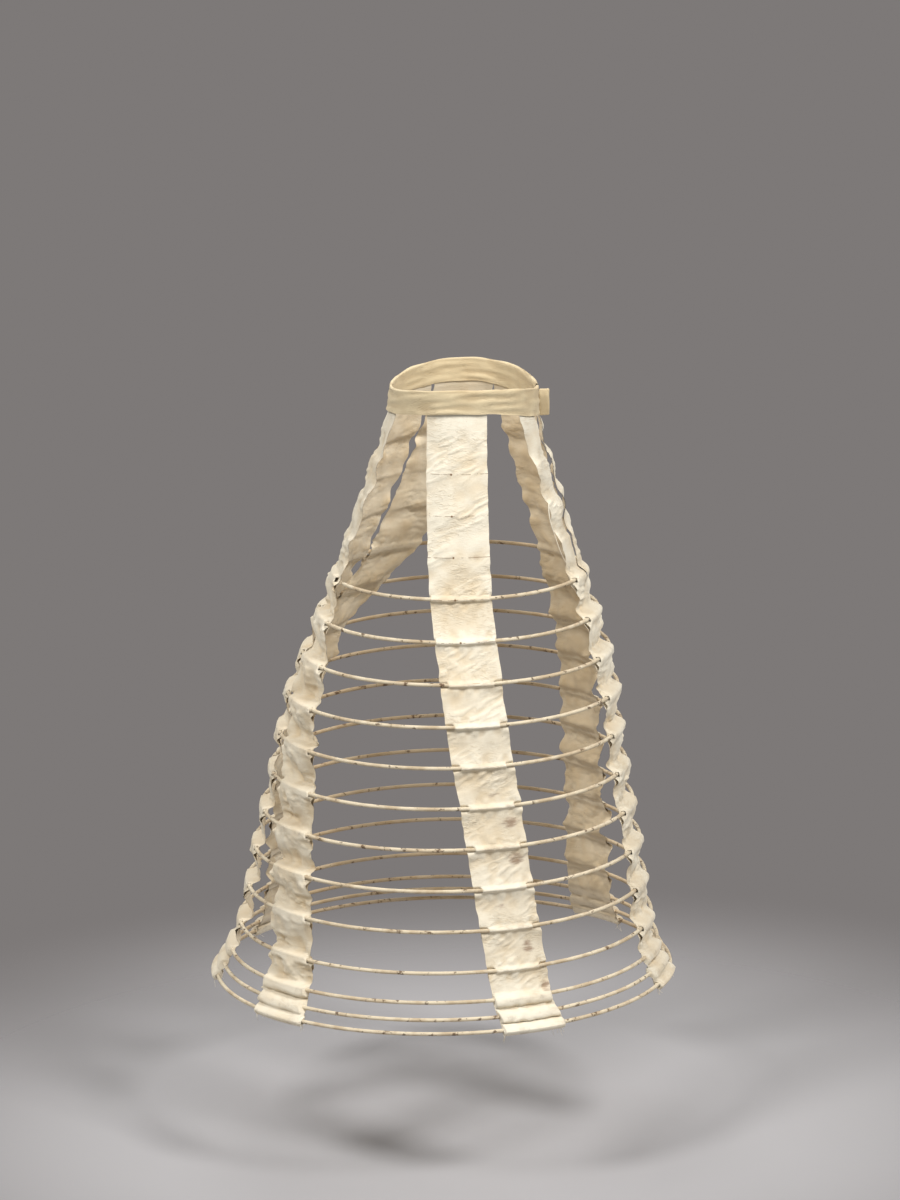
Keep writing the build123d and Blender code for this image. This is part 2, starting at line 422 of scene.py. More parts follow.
@dataclass(frozen=True)
class ClothFinish:
    """Plain woven cotton, gone yellow, with stains, stitching and painted shade in its creases and
    folds.

    Distances along the tape from a channel are in millimetres, places across it in metres.
    """

    name: str
    fresh: Colour
    # The tan of aged cotton, also laid on as painted shade.
    aged_and_shade: Colour
    stain: Colour
    rust: Colour
    pitch: float
    sewn: bool
    clouds: Patch = Patch(16.0, 4.0, 0.4, 0.78, 0.6)
    slubs: Patch = Patch((90.0, 900.0, 1.0), 3.0, 0.42, 0.75, 0.2)
    specks: Patch = Patch(330.0, 2.0, 0.735, 0.78, 0.6)
    smears: Patch = Patch((70.0, 260.0, 1.0), 5.0, 0.3, 0.62, 0.72)
    smear_base: float = 0.1
    wear: Patch = Patch(60.0, 4.0, 0.5, 0.72, 0.32)
    wear_reach: Pair = (0.5, 4.6)
    seams: Patch = Patch((85.0, 60.0, 1.0), 3.0, 0.43, 0.53, 0.72)
    seam_half: float = 0.4
    knot_half: float = 1.1
    knot_half_width: float = 0.001
    knot_place: float = 0.0065
    creases: Patch = Patch((26.0, 150.0, 1.0), 3.0, 0.0, 1.0, 0.3)
    creased: Patch = Patch(24.0, 3.0, 0.44, 0.62)
    crease_lines: tuple[Pair, Pair] = ((0.3, 0.03), (-0.2, 0.024))
    crease_depth: float = 1.1
    # How strongly the stored painted shade and age tint show.
    shade_share: float = 0.55
    weave_height: float = 0.14
    lint: Patch = Patch(210.0, 4.0, 0.0, 1.0, 0.7)
    relief: Pair = (0.5, 0.0011)

    def marks(self, graph: Graph, colour: object, across: object) -> Socket:
        """Smears, rust from the hoops, and the stitching of the empty channels.

        Args:
            graph: the material's graph.
            colour: the cloth's colour so far.
            across: the place across the tape, in metres.

        Returns:
            The colour with its marks.
        """
        streaks = graph.maths("ADD", graph.cloud(self.smears), self.smear_base)
        dirt = graph.times(graph.attribute("stain"), streaks)
        smear = graph.ease(dirt, self.smears.low, self.smears.high)
        colour = graph.cover(colour, smear, self.smears.share, self.stain)
        away = graph.maths("ABSOLUTE", graph.attribute("channel"))
        near = graph.rest(graph.ease(away, *self.wear_reach))
        worn = graph.times(near, graph.mask(self.wear))
        colour = graph.cover(colour, worn, self.wear.share, self.rust)
        empty = graph.attribute("bare")
        sewn = graph.times(graph.mask(self.seams), empty)
        line = graph.times(graph.below(away, self.seam_half), sewn)
        beside = graph.below(graph.off(across, self.knot_place), self.knot_half_width)
        knot = graph.times(graph.times(graph.below(away, self.knot_half), beside), empty)
        dark = graph.maths("MAXIMUM", graph.times(line, self.seams.share), knot)
        return graph.mix(dark, colour, self.rust)

    def lines(self, graph: Graph, turn: float, width: float) -> Socket:
        """Thin creases that run nearly across the cloth, here and there.

        Args:
            graph: the material's graph.
            turn: how far they are turned, in radians.
            width: how wide they are, as a share of the noise.

        Returns:
            The creases, 1 at their middle.
        """
        off_line = graph.off(graph.cloud(self.creases, turn), 0.5)
        thin = graph.rest(graph.ease(off_line, 0.0, width))
        return graph.times(thin, graph.mask(self.creased))

    def material(self) -> Material:
        """The finish as a material.

        Returns:
            The material.
        """
        graph = Graph(self.name)
        across, along = graph.parts("UV")
        colour = graph.patched(self.fresh, self.clouds, self.aged_and_shade)
        colour = graph.patched(colour, self.slubs, self.aged_and_shade)
        # Painted shade in creases, folds and on the inner ply, with the cloth's age tint.
        colour = graph.cover(colour, graph.attribute("hollow"), self.shade_share, self.aged_and_shade)
        # Thin crease lines: painted shade along them, and a dent in the bump below.
        crinkle = graph.maths("MAXIMUM", *(self.lines(graph, *line) for line in self.crease_lines))
        colour = graph.cover(colour, crinkle, self.creases.share, self.aged_and_shade)
        colour = graph.patched(colour, self.specks, self.rust)
        if self.sewn:
            colour = self.marks(graph, colour, across)
        wave = FULL_TURN / self.pitch
        weft, warp = (graph.maths("SINE", graph.times(way, wave)) for way in (across, along))
        raised = graph.maths("ADD", graph.times(weft, warp), 1.0)
        lint = graph.times(graph.cloud(self.lint), self.lint.share)
        height = graph.maths("ADD", graph.times(raised, self.weave_height), lint)
        height = graph.maths("SUBTRACT", height, graph.times(crinkle, self.crease_depth))
        graph.bump(height, *self.relief)
        graph.surface(
            colour, Roughness=0.86, Specular_IOR_Level=0.22, Sheen_Weight=0.12, Sheen_Roughness=0.5
        )
        return graph.material


@dataclass(frozen=True)
class HoopFinish:
    """Cotton thread wound over wire, with painted shade browning the wearer's left and rust coming
    through.
    """

    name: str
    straw: Colour
    brown: Colour
    rust: Colour
    clouds: Patch = Patch(38.0, 4.0, 0.4, 0.66, 0.55)
    spots: Patch = Patch(110.0, 4.0, 0.58, 0.66, 0.85)
    # Painted shade towards the wearer's left, the side away from the camera.
    far_shade_side: Pair = (-0.02, 0.16)
    far_shade_share: float = 0.6
    turns: float = 1700.0
    groove: Pair = (0.3, 0.5)
    groove_share: float = 0.3
    lint: Patch = Patch(420.0, 3.0, 0.0, 1.0, 0.6)
    relief: Pair = (0.6, 0.0006)

    def material(self) -> Material:
        """The finish as a material.

        Returns:
            The material.
        """
        graph = Graph(self.name)
        round_hoop, round_wire = graph.parts("UV")
        colour = graph.patched(self.straw, self.clouds, self.brown)
        # Painted shade: browner towards the wearer's left, the far side.
        _, leftwards = graph.parts("Object")
        left = graph.ease(leftwards, *self.far_shade_side)
        colour = graph.cover(colour, left, self.far_shade_share, self.brown)
        colour = graph.patched(colour, self.spots, self.rust)
        turned = graph.maths("ADD", graph.times(round_hoop, self.turns), round_wire)
        groove = graph.ease(graph.off(graph.maths("FRACT", turned), 0.5), *self.groove)
        colour = graph.cover(colour, groove, self.groove_share, self.brown)
        lint = graph.times(graph.cloud(self.lint), self.lint.share)
        graph.bump(graph.maths("SUBTRACT", lint, groove), *self.relief)
        graph.surface(colour, Roughness=0.7, Specular_IOR_Level=0.3)
        return graph.material


@dataclass(frozen=True)
class WireFinish:
    """Dull brass wire with a brown bloom."""

    name: str
    metal: Colour
    bloom: Colour
    clouds: Patch = Patch(700.0, 4.0, 0.4, 0.62, 0.3)
    polish: float = 0.35
    grain: Patch = Patch(2400.0, 3.0, 0.0, 1.0)
    relief: Pair = (0.2, 0.0002)

    def material(self) -> Material:
        """The finish as a material.

        Returns:
            The material.
        """
        graph = Graph(self.name)
        cloud = graph.mask(self.clouds)
        dull = graph.maths("ADD", graph.times(cloud, self.clouds.share), self.polish)
        graph.feed(graph.shader.inputs["Roughness"], dull)
        graph.surface(graph.mix(cloud, self.metal, self.bloom), Metallic=0.9)
        graph.bump(graph.cloud(self.grain), *self.relief)
        return graph.material


def link_mesh(name: str, mesh: bpy.types.Mesh) -> Piece:
    """Put a mesh into the scene.

    Args:
        name: the piece's name.
        mesh: its mesh.

    Returns:
        The new object, shaded smooth.
    """
    mesh.polygons.foreach_set("use_smooth", np.ones(len(mesh.polygons), dtype=bool))
    mesh.update()
    piece = bpy.data.objects.new(name, mesh)
    bpy.context.scene.collection.objects.link(piece)
    return piece


def sheet_mesh(
    name: str, points: Array, keep: Array, flat: Array, values: dict[str, Array]
) -> Piece:
    """Make a sheet from rows of points.

    Args:
        name: the piece's name.
        points: rows, columns and x, y, z.
        keep: for each square of the grid, whether it is there.
        flat: rows, columns and the two flat coordinates in metres.
        values: further numbers to store on the points.

    Returns:
        The new object, smooth and linked to the scene.
    """
    rows, columns = points.shape[:2]
    index = np.arange(rows * columns).reshape(rows, columns)
    corners = [index[:-1, :-1], index[1:, :-1], index[1:, 1:], index[:-1, 1:]]
    used, quads = np.unique(np.stack(corners, axis=-1)[keep], return_inverse=True)
    quads = quads.reshape(-1, 4)
    mesh = bpy.data.meshes.new(name)
    mesh.from_pydata(points.reshape(-1, 3)[used].tolist(), [], quads.tolist())
    layer = mesh.uv_layers.new(name="flat")
    spots = flat.reshape(-1, 2)[used][quads.ravel()]
    layer.data.foreach_set("uv", spots.astype(np.float32).ravel())
    for label, numbers in values.items():
        attribute = mesh.attributes.new(label, "FLOAT", "POINT")
        attribute.data.foreach_set("value", numbers.ravel()[used].astype(np.float32))
    return link_mesh(name, mesh)


def strands_mesh(name: str, paths: list[Array], radius: float, sides: int = 5) -> Piece:
    """Make thin round strands along some paths, as one piece.

    Args:
        name: the piece's name.
        paths: the strands' points.
        radius: the strands' radius at the root, which halves to the tip.
        sides: how many sides a strand has.

    Returns:
        The new object, smooth and linked to the scene.
    """
    points: list[Array] = []
    faces: list[list[int]] = []
    turns = np.linspace(0.0, FULL_TURN, sides + 1)[:-1]
    skew = np.array([0.31, 0.52, 0.79])
    for path in paths:
        run = np.gradient(path, axis=0)
        run /= np.linalg.norm(run, axis=1, keepdims=True)
        wide = np.cross(run, skew)
        wide /= np.linalg.norm(wide, axis=1, keepdims=True)
        high = np.cross(run, wide)
        first = len(points)
        last = first + sides * (len(path) - 1)
        thin = radius * np.linspace(1.0, 0.5, len(path))
        for middle, right, up, thick in zip(path, wide, high, thin):
            points += [middle + thick * (math.cos(t) * right + math.sin(t) * up) for t in turns]
        for row in range(first, last, sides):
            ring = [(row + k, row + (k + 1) % sides) for k in range(sides)]
            faces += [[one, two, two + sides, one + sides] for one, two in ring]
        faces += [list(range(first + sides - 1, first - 1, -1)), list(range(last, last + sides))]
    mesh = bpy.data.meshes.new(name)
    mesh.from_pydata([tuple(p) for p in points], [], faces)
    return link_mesh(name, mesh)


def roughen(piece: Piece, scale: float, strength: float) -> None:
    """Displace the active piece by clouds and shade it smooth.

    Args:
        piece: the piece, which is the active one.
        scale: the clouds' size in metres.
        strength: how far they reach in all.
    """
    clouds = bpy.data.textures.new(f"{piece.name}_clouds", "CLOUDS")
    clouds.noise_scale = scale
    modifier = piece.modifiers.new("clouds", "DISPLACE")
    modifier.texture = clouds
    modifier.texture_coords = "LOCAL"
    modifier.strength = strength
    modifier.mid_level = 0.5
    bpy.ops.object.modifier_apply(modifier=modifier.name)
    bpy.ops.object.shade_smooth()


def dress(piece: Piece, material: Material) -> Piece:
    """Give a piece its material and slot and let it ride on the part.

    Args:
        piece: the piece.
        material: its material.

    Returns:
        The same piece.
    """
    piece.data.materials.clear()
    piece.data.materials.append(material)
    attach(piece, BODY)
    log.info("piece %s", piece.name)
    return piece


@dataclass
class Tape:
    """One tape: two plies that run from the band over the hoops to a rolled hem.

    The path is in degrees at the band's foot and at the station hoops. The jitter shares are for
    a fold's depth, tilt, cup and lean.
    """

    name: str
    path_deg: tuple[float, ...]
    fold: float
    upper_fold: float
    crease: float
    flutter: float
    hang: Hang
    seed: int
    length: float
    # Tint of the cloth's age together with painted shade, stronger on the tapes that lie in shade.
    age_and_shade_tint: float
    form: Fold = Fold.SOFT
    stains: tuple[tuple[float, float, float, float, float], ...] = ()
    width: float = 0.076
    top: float = 0.004
    slit_width: float = 0.0
    slit_drop: float = 0.016
    station_hoops: tuple[int, ...] = (0, 2, 5, 12)
    bare_pitch: float = 0.0486
    bare_end: float = 0.01
    stitched: bool = False
    # Painted shade: how strongly it fills crease hollows and deep folds, how much the inner ply
    # gets, the two shares, and its cap together with the age tint.
    crease_shade: float = 1.0
    inner_ply_shade: float = 0.3
    shade_shares: Pair = (0.6, 0.35)
    shade_and_age_limit: float = 1.4
    outer_step: float = 0.00135
    outer_columns: int = 54
    inner_step: float = 0.0018
    inner_columns: int = 44
    outer_clear: float = 0.001
    inner_clear: float = 0.0013
    gap: float = 0.0003
    gap_ease: float = 0.6
    room_power: float = 1.4
    jitter_shares: tuple[float, ...] = (0.22, 0.4, 0.35, 0.11)
    cup_level: float = 0.4
    upper_deep: float = 0.3
    edge_ease: float = 0.3
    uneven: float = 1.0
    slant: float = 0.0
    dent: float = 0.0013
    crease_lean: float = 0.0
    crease_sharp: float = 0.3
    crease_shares: Pair = (0.45, 0.8)
    crease_patch: Pair = (0.5, 0.6)
    crease_limits: Pair = (0.05, 1.5)
    curl_skew: float = 0.3
    upper_calm: float = 0.75
    upper_ease: Pair = (-0.03, 0.02)
    narrow: float = 0.03
    sway: float = 0.0007
    band_ease: float = 0.03
    band_hold: float = 0.006
    gather: float = 0.8
    gather_skew: float = 0.7
    gather_out: float = 0.0022
    gather_reach: float = 0.006
    ear: float = 0.0024
    ear_drop: float = 0.0075
    ear_reach: float = 0.0045
    eyelet_inset: float = 0.005
    eyelet_soft: float = 0.0018
    eyelet_half: Pair = (0.0015, 0.0031)
    far_eyelets: bool = True
    edge_hoops: int = 0
    mouth: float = 0.0014
    channel_reach: float = 0.0088
    channel_crease: float = 0.0
    channel_lift: float = 0.0008
    channel_share: float = 0.47
    shingle_core: float = 1.1
    shingle_reach: Pair = (0.0066, 0.0088)
    tunnel_from: int = 10
    tunnel_lift: float = 0.0034
    tunnel_ease: Pair = (-0.012, 0.004)
    hem_share: float = 0.49
    hem_less: float = 0.0004
    hem_shift: float = 0.0
    hem_spread: float = 0.06
    roll: float = 0.0072
    roll_core: float = 0.0029
    roll_turn: float = 15.2
    roll_steps: int = 60
    roll_mouth: float = 0.8
    inner_stop: float = 0.003
    inner_hold: float = 0.0054
    jitter: Array = field(init=False)

    def __post_init__(self) -> None:
        """Seed this tape's own unevenness."""
        dice = np.random.default_rng(self.seed)
        folds = HOOP_COUNT + BARE_CHANNELS + 1
        draws = dice.uniform(-1.0, 1.0, (folds, len(self.jitter_shares)))
        self.jitter = draws * self.jitter_shares

    def band_edge(self, cage: Cage) -> float:
        """Height of the band's lower edge over the tape's middle."""
        return cage.foot(np.radians(self.path_deg[0]))

    def slit_foot(self, cage: Cage) -> float:
        """Height where the slit ends, below the first hoop."""
        return cage.heights[0] - self.slit_drop

    def middle(self, cage: Cage, z: Array) -> Array:
        """Where the tape's middle lies at each height, in radians."""
        marks = [self.band_edge(cage), *(cage.heights[i] for i in self.station_hoops)]
        return np.radians(np.interp(-z, -np.array(marks), self.path_deg))

    def highest(self, cage: Cage) -> float:
        """The height of the tape's top edge inside the band.

        Args:
            cage: the hoops and the waist.

        Returns:
            The height.
        """
        start = math.radians(self.path_deg[0])
        turn = (self.width + self.slit_width) / 2 / float(cage.waist_radius(np.array(start)))
        feet = cage.foot(start + turn * np.array([-1.0, 0.0, 1.0]))
        return self.top + float(feet.min()) - cage.band_foot

    def levels(self, cage: Cage) -> Array:
        """Heights of the bare channels above the first hoop, then of the hoops."""
        bare = cage.heights[0] + self.bare_pitch * np.arange(BARE_CHANNELS, 0, -1)
        return np.concatenate([bare, cage.heights])

    def hanging(self, cage: Cage, side: Array, z: Array) -> tuple[Array, Array]:
        """How the cloth hangs between one channel and the next.

        Args:
            cage: the hoops.
            side: places across the tape, from -1 to 1.
            z: heights.

        Returns:
            Offsets, inwards negative, and how deep in a fold each place is, from 0 to 1.
        """
        levels = np.concatenate([[cage.band_foot - cage.dip], self.levels(cage)])
        offset, deep = np.zeros(z.shape), np.zeros(z.shape)
        for i, (upper, lower) in enumerate(zip(levels, levels[1:])):
            plain, tilt, cup, lean = self.jitter[i]
            hooped = i > BARE_CHANNELS
            fold, depth = (self.fold, 1.0) if hooped else (self.upper_fold, self.upper_deep)
            share = (upper - z) / (upper - lower)
            inside = (share >= 0) & (share < 1)
            room = min(1.0, (upper - lower) / self.bare_pitch) ** self.room_power
            slanted = share + lean * side * np.sin(math.pi * np.clip(share, 0, 1))
            line = curve(*self.form.value, np.clip(slanted, 0, 1))
            across = tilt * side + cup * (side**2 - self.cup_level)
            across = 1 + self.slant * side - self.edge_ease * side**2 + self.uneven * across
            sag = fold * room * (1 + self.uneven * plain) * across * line
            offset = np.where(inside, sag, offset)
            deep = np.where(inside, np.clip(-line, 0, 1) * room * depth, deep)
        return offset, deep

    def creases(self, across: Array, z: Array) -> Array:
        """Fine creases, soft dimples and curling edges.

        Args:
            across: places across the tape, in metres.
            z: heights.

        Returns:
            Offsets.
        """
        fine = Wrinkle.FINE.heights(self.seed, across, -z)
        sharp = np.exp(-((fine / self.crease_sharp) ** 2))
        dimple = Wrinkle.DIMPLE.heights(self.seed, across, -z)
        level, swing = self.crease_patch
        patch = level + swing * Wrinkle.PATCH.heights(self.seed, across, -z)
        patch = np.clip(patch, *self.crease_limits)
        edge = np.abs(across / (self.width / 2)) ** 3
        curl = Wrinkle.CURL.heights(self.seed, across * self.curl_skew, -z)
        wavy, pinched = self.crease_shares
        folds = self.crease * patch * (wavy * fine - pinched * sharp)
        return folds + self.dent * dimple + self.flutter * edge * curl

    def pucker(self, across: Array, away: Array) -> Array:
        """Small upright gathers beside each channel's stitching.

        Args:
            across: places across the tape, in metres.
            away: heights above the nearest hoop.

        Returns:
            Offsets.
        """
        waves = Wrinkle.GATHER.heights(self.seed, away * self.gather_skew, across)
        beside = (np.abs(away) - self.channel_reach - self.gather_out) / self.gather_reach
        return self.crease * self.gather * waves * np.exp(-(beside**2))

    def bulge(self, cage: Cage, z: Array) -> tuple[Array, Array, Array]:
        """The channels that the hoops fill.

        Args:
            cage: the hoops.
            z: heights.

        Returns:
            The nearest hoop, how full the channel is, from 0 to 1, and how far it stands out.
        """
        nearest = np.abs(z[..., None] - cage.heights).argmin(-1)
        steps = np.abs(np.diff(cage.heights))
        spaces = np.minimum(np.append(steps, np.inf), np.append(np.inf, steps))
        hem = np.arange(HOOP_COUNT) > self.tunnel_from
        widest = self.channel_share * spaces
        reach = np.where(hem, self.hem_share * spaces, np.minimum(self.channel_reach, widest))
        lift = np.where(hem, self.roll - self.hem_less, cage.wire + self.channel_lift)
        lift[self.tunnel_from] = cage.wire + self.tunnel_lift
        reach[self.tunnel_from] = widest[self.tunnel_from]
        lift[-1] = self.roll
        away = z - cage.heights[nearest]
        share = np.clip(np.abs(away) / reach[nearest], 0.0, 1.0)
        round_it = np.cos(share * math.pi / 2) ** 2
        if self.form is Fold.SHINGLED:
            ends = np.where(away > 0, *self.shingle_reach)
            round_it = 1 - smooth(cage.wire * self.shingle_core, ends, np.abs(away))
        blunt = hem[nearest] | ((nearest == self.tunnel_from) & (away < 0))
        return nearest, np.where(blunt, np.sqrt(1 - share**2), round_it), lift[nearest]

    def rows(self, cage: Cage, outer: bool) -> tuple[Array, Array]:
        """The rows of a ply's grid.

        Args:
            cage: the hoops.
            outer: whether it is the outer ply, which ends in the hem's roll.

        Returns:
            Their heights, and how far each is turned into the roll, in radians.
        """
        last = cage.heights[-1]
        turn = np.linspace(0.0, self.roll_turn, self.roll_steps) if outer else np.zeros(0)
        step, stop = (self.outer_step, last) if outer else (self.inner_step, last + self.inner_stop)
        straight = np.arange(self.highest(cage), stop, -step)
        heights = np.concatenate([straight, np.full(len(turn), last)])
        return heights, np.concatenate([np.zeros(len(straight)), turn])

    def angles(self, cage: Cage, x: Array, z: Array, deep: Array) -> Array:
        """Where the places of a ply lie round the cage.

        Args:
            cage: the hoops.
            x: places across the tape, in metres.
            z: heights, the same along each row.
            deep: how deep in a fold each place is.

        Returns:
            The angles in radians.
        """
        side = x / (self.width / 2)
        middle = self.middle(cage, z[:, :1])
        _, radius = cage.ring(middle, z[:, :1])
        foot, band = self.slit_foot(cage), self.band_edge(cage)
        spread = self.slit_width * np.clip((z - foot) / (band - foot), 0.0, 1.0) / 2
        drift = self.sway * Wrinkle.DRIFT.heights(self.seed, np.zeros_like(z), -z)
        rough = self.sway * Wrinkle.EDGE.heights(self.seed, side, -z)
        loosely = smooth(0.0, self.band_ease, band - self.band_hold - z)
        tunnel = smooth(*self.tunnel_ease, cage.heights[self.tunnel_from + 1] - z)
        wide = x * (1 - self.narrow * deep + self.hem_spread * tunnel) + self.hem_shift * tunnel
        wide = wide + (drift + rough * side) * loosely
        return middle + (wide + np.sign(x) * spread) / radius

    def build(self, cage: Cage, ply: Ply) -> Piece:
        """Make one ply.

        Args:
            cage: the hoops that it follows.
            ply: which of the two layers.

        Returns:
            The sheet.
        """
        outer = ply is Ply.OUTER
        columns = self.outer_columns if outer else self.inner_columns
        heights, curl = self.rows(cage, outer)
        x, z = np.meshgrid(np.linspace(-self.width / 2, self.width / 2, columns), heights)
        curl = np.broadcast_to(curl[:, None], x.shape)
        side = x / (self.width / 2)
        hang, deep = self.hanging(cage, side, z)
        angle = self.angles(cage, x, z, deep)
        free = smooth(0.0, self.band_ease, cage.foot(angle) - z)
        nearest, full, lift = self.bulge(cage, z)
        away = z - cage.heights[nearest]
        inset = self.width / 2 - np.abs(x)
        channelled = (nearest < self.tunnel_from) & (nearest >= self.edge_hoops)
        holed = channelled & ((x > 0) | self.far_eyelets)
        rim = np.where(holed, self.eyelet_inset, self.mouth)
        soft = np.where(holed, self.eyelet_soft, self.mouth)
        over = smooth(rim - soft, rim + soft, inset)
        lower = smooth(*self.upper_ease, cage.heights[0] - z)
        calm = self.upper_calm + (1 - self.upper_calm) * lower
        fine = (self.creases(x, z + self.crease_lean * x) + self.pucker(x, away)) * calm
        loose = (hang + fine) * free * (1 - full)
        ears = np.exp(-(((away + self.ear_drop) / self.ear_reach) ** 2)) * channelled
        gape = self.gap * (1.0 - self.gap_ease * side**4) + self.ear * side**6 * ears * free
        if outer:
            behind = cage.wire + self.outer_clear
            offset = loose + gape + full * (lift * over - behind * (1 - over))
            offset = offset + self.channel_crease * fine * full * over
        else:
            behind = cage.wire + self.inner_clear
            hold = np.where(nearest == HOOP_COUNT - 1, self.inner_hold, behind)
            offset = loose - gape - full * hold
        tube = self.roll + (self.roll_core - self.roll) * curl / self.roll_turn
        closed = self.roll_mouth * (1 - smooth(0.0, 2 * self.mouth, inset))
        tube = tube - (tube - self.roll_core) * closed
        offset = np.where(curl > 0, tube * np.cos(curl) + gape, offset)
        points = cage.place(angle, z - tube * np.sin(curl), offset)
        run = np.linalg.norm(np.diff(points[:, columns // 2], axis=0), axis=1)
        along = np.concatenate([[0.0], np.cumsum(run)])
        flat = np.stack(np.broadcast_arrays(x, along[:, None]), axis=-1)
        keep = np.ones((len(heights) - 1, columns - 1), dtype=bool)
        if outer:
            wide, high = self.eyelet_half
            eye = holed & (np.abs(away) < high) & (np.abs(inset - rim) < wide)
            keep &= ~(eye[:-1, :-1] & eye[1:, 1:] & (curl[1:, 1:] == 0))
        if self.slit_width:
            keep[heights[:-1] > self.slit_foot(cage), columns // 2 - 1] = False
        values = self.marks(cage, x, z)
        # Painted shade: darker in crease hollows, deep in the folds and on the inner ply, added to
        # the tape's tint of age and shade.
        hollow = np.clip(-fine / (self.crease + self.dent), 0.0, 1.0) * free * (1 - full)
        in_crease, in_fold = self.shade_shares
        hollow = (hollow * in_crease + in_fold * deep) * self.crease_shade + self.age_and_shade_tint
        hollow = hollow + (0.0 if outer else self.inner_ply_shade)
        values["hollow"] = np.clip(hollow, 0.0, self.shade_and_age_limit)
        return sheet_mesh(f"{self.name}_{ply.value}", points, keep, flat, values)

    def marks(self, cage: Cage, x: Array, z: Array) -> dict[str, Array]:
        """What the finish reads of a ply's marks.

        Args:
            cage: the hoops.
            x: places across the tape, in metres.
            z: heights.

        Returns:
            Millimetres above the nearest channel, where stitching shows, and stains.
        """
        levels = self.levels(cage)
        stain = np.zeros_like(x)
        for place, height, half_width, half_height, strength in self.stains:
            spot = ((x - place) / half_width) ** 2 + ((z - height) / half_height) ** 2
            stain = np.maximum(stain, strength * np.exp(-spot))
        return {
            "channel": 1000.0 * (z - levels[np.abs(z[..., None] - levels).argmin(-1)]),
            "bare": np.where(z > cage.heights[1] - self.bare_end, float(self.stitched), 0.0),
            "stain": stain,
        }

    def corner(self, cage: Cage, side: float, offset: float) -> Array:
        """A point at one end of the rolled hem.

        Args:
            cage: the hoops.
            side: the place across the tape, from -1 to 1.
            offset: how far it stands out of the cage.

        Returns:
            The point.
        """
        last = cage.heights[-1]
        middle = self.middle(cage, np.array([last]))[0]
        angle = middle + side * self.width / 2 / cage.radii[-1]
        return cage.place(np.array(angle), np.array(last), np.array(offset))

    def dress(self, cage: Cage, material: Material) -> None:
        """Build both plies and finish them.

        Args:
            cage: the hoops.
            material: the cloth's material.
        """
        for ply in Ply:
            piece = dress(self.build(cage, ply), material)
            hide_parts(self.name)


